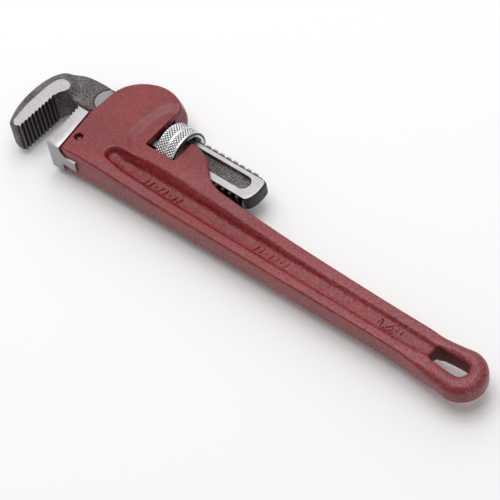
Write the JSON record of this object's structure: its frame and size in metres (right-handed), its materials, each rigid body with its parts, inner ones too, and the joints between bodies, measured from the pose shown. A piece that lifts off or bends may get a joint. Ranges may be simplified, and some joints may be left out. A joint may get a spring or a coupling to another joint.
{
  "type": "pipe wrench",
  "caption": "Straight pipe wrench with a cast I-beam handle, pinned heel jaw, screw-shank hook jaw, knurled adjusting nut and a sprung rocking head",
  "frame": {"origin": "bottom centre of the bounding box of the whole wrench, lying on its side with the jaws as set at rest", "axes": "+X runs down the handle to the hanging hole, +Y points to the hump at the back of the head, +Z is the normal of the wrench's side face that is up"},
  "size_m": [0.3118, 0.0676, 0.0276],
  "materials": {
    "red_enamel": "red enamel over a cast surface",
    "ground_steel": "surface-ground steel",
    "dark_steel": "oil-darkened steel",
    "forged_steel": "scale-brown drop forging with ground flats",
    "plated_steel": "bright plated, diamond knurled",
    "spring_steel": "blued spring steel"
  },
  "bodies": {
    "handle": {"handle": "red_enamel", "heel_jaw": "ground_steel", "heel_jaw_pin": "dark_steel"},
    "spring_assembly": {"flat_spring": "spring_steel", "coil_spring": "spring_steel", "spring_rivet": "spring_steel"},
    "hook_jaw": {"hook_jaw": "forged_steel"},
    "adjusting_nut": {"adjusting_nut": "plated_steel"}
  },
  "joints": [
    {"name": "jaw_rock", "type": "hinge", "parent": "handle", "child": "spring_assembly", "pos_m": [-0.06502, 0.0085, 0.0138], "axis": [0, 0, 1], "range_deg": [0, 2], "stiffness_Nm_per_rad": 6, "springref_deg": -2.86},
    {"name": "jaw_travel", "type": "slide", "parent": "spring_assembly", "child": "hook_jaw", "axis": [-1, 0, 0], "range_m": [-0.013, 0.0435]},
    {"name": "nut_spin", "type": "hinge", "parent": "spring_assembly", "child": "adjusting_nut", "pos_m": [-0.06502, 0.0085, 0.0138], "axis": [1, 0, 0], "range_deg": [-1010, 3375]}
  ],
  "couplings": [
    {"joint": "nut_spin", "follows": "jaw_travel", "rad_per_m": 1351.2}
  ]
}
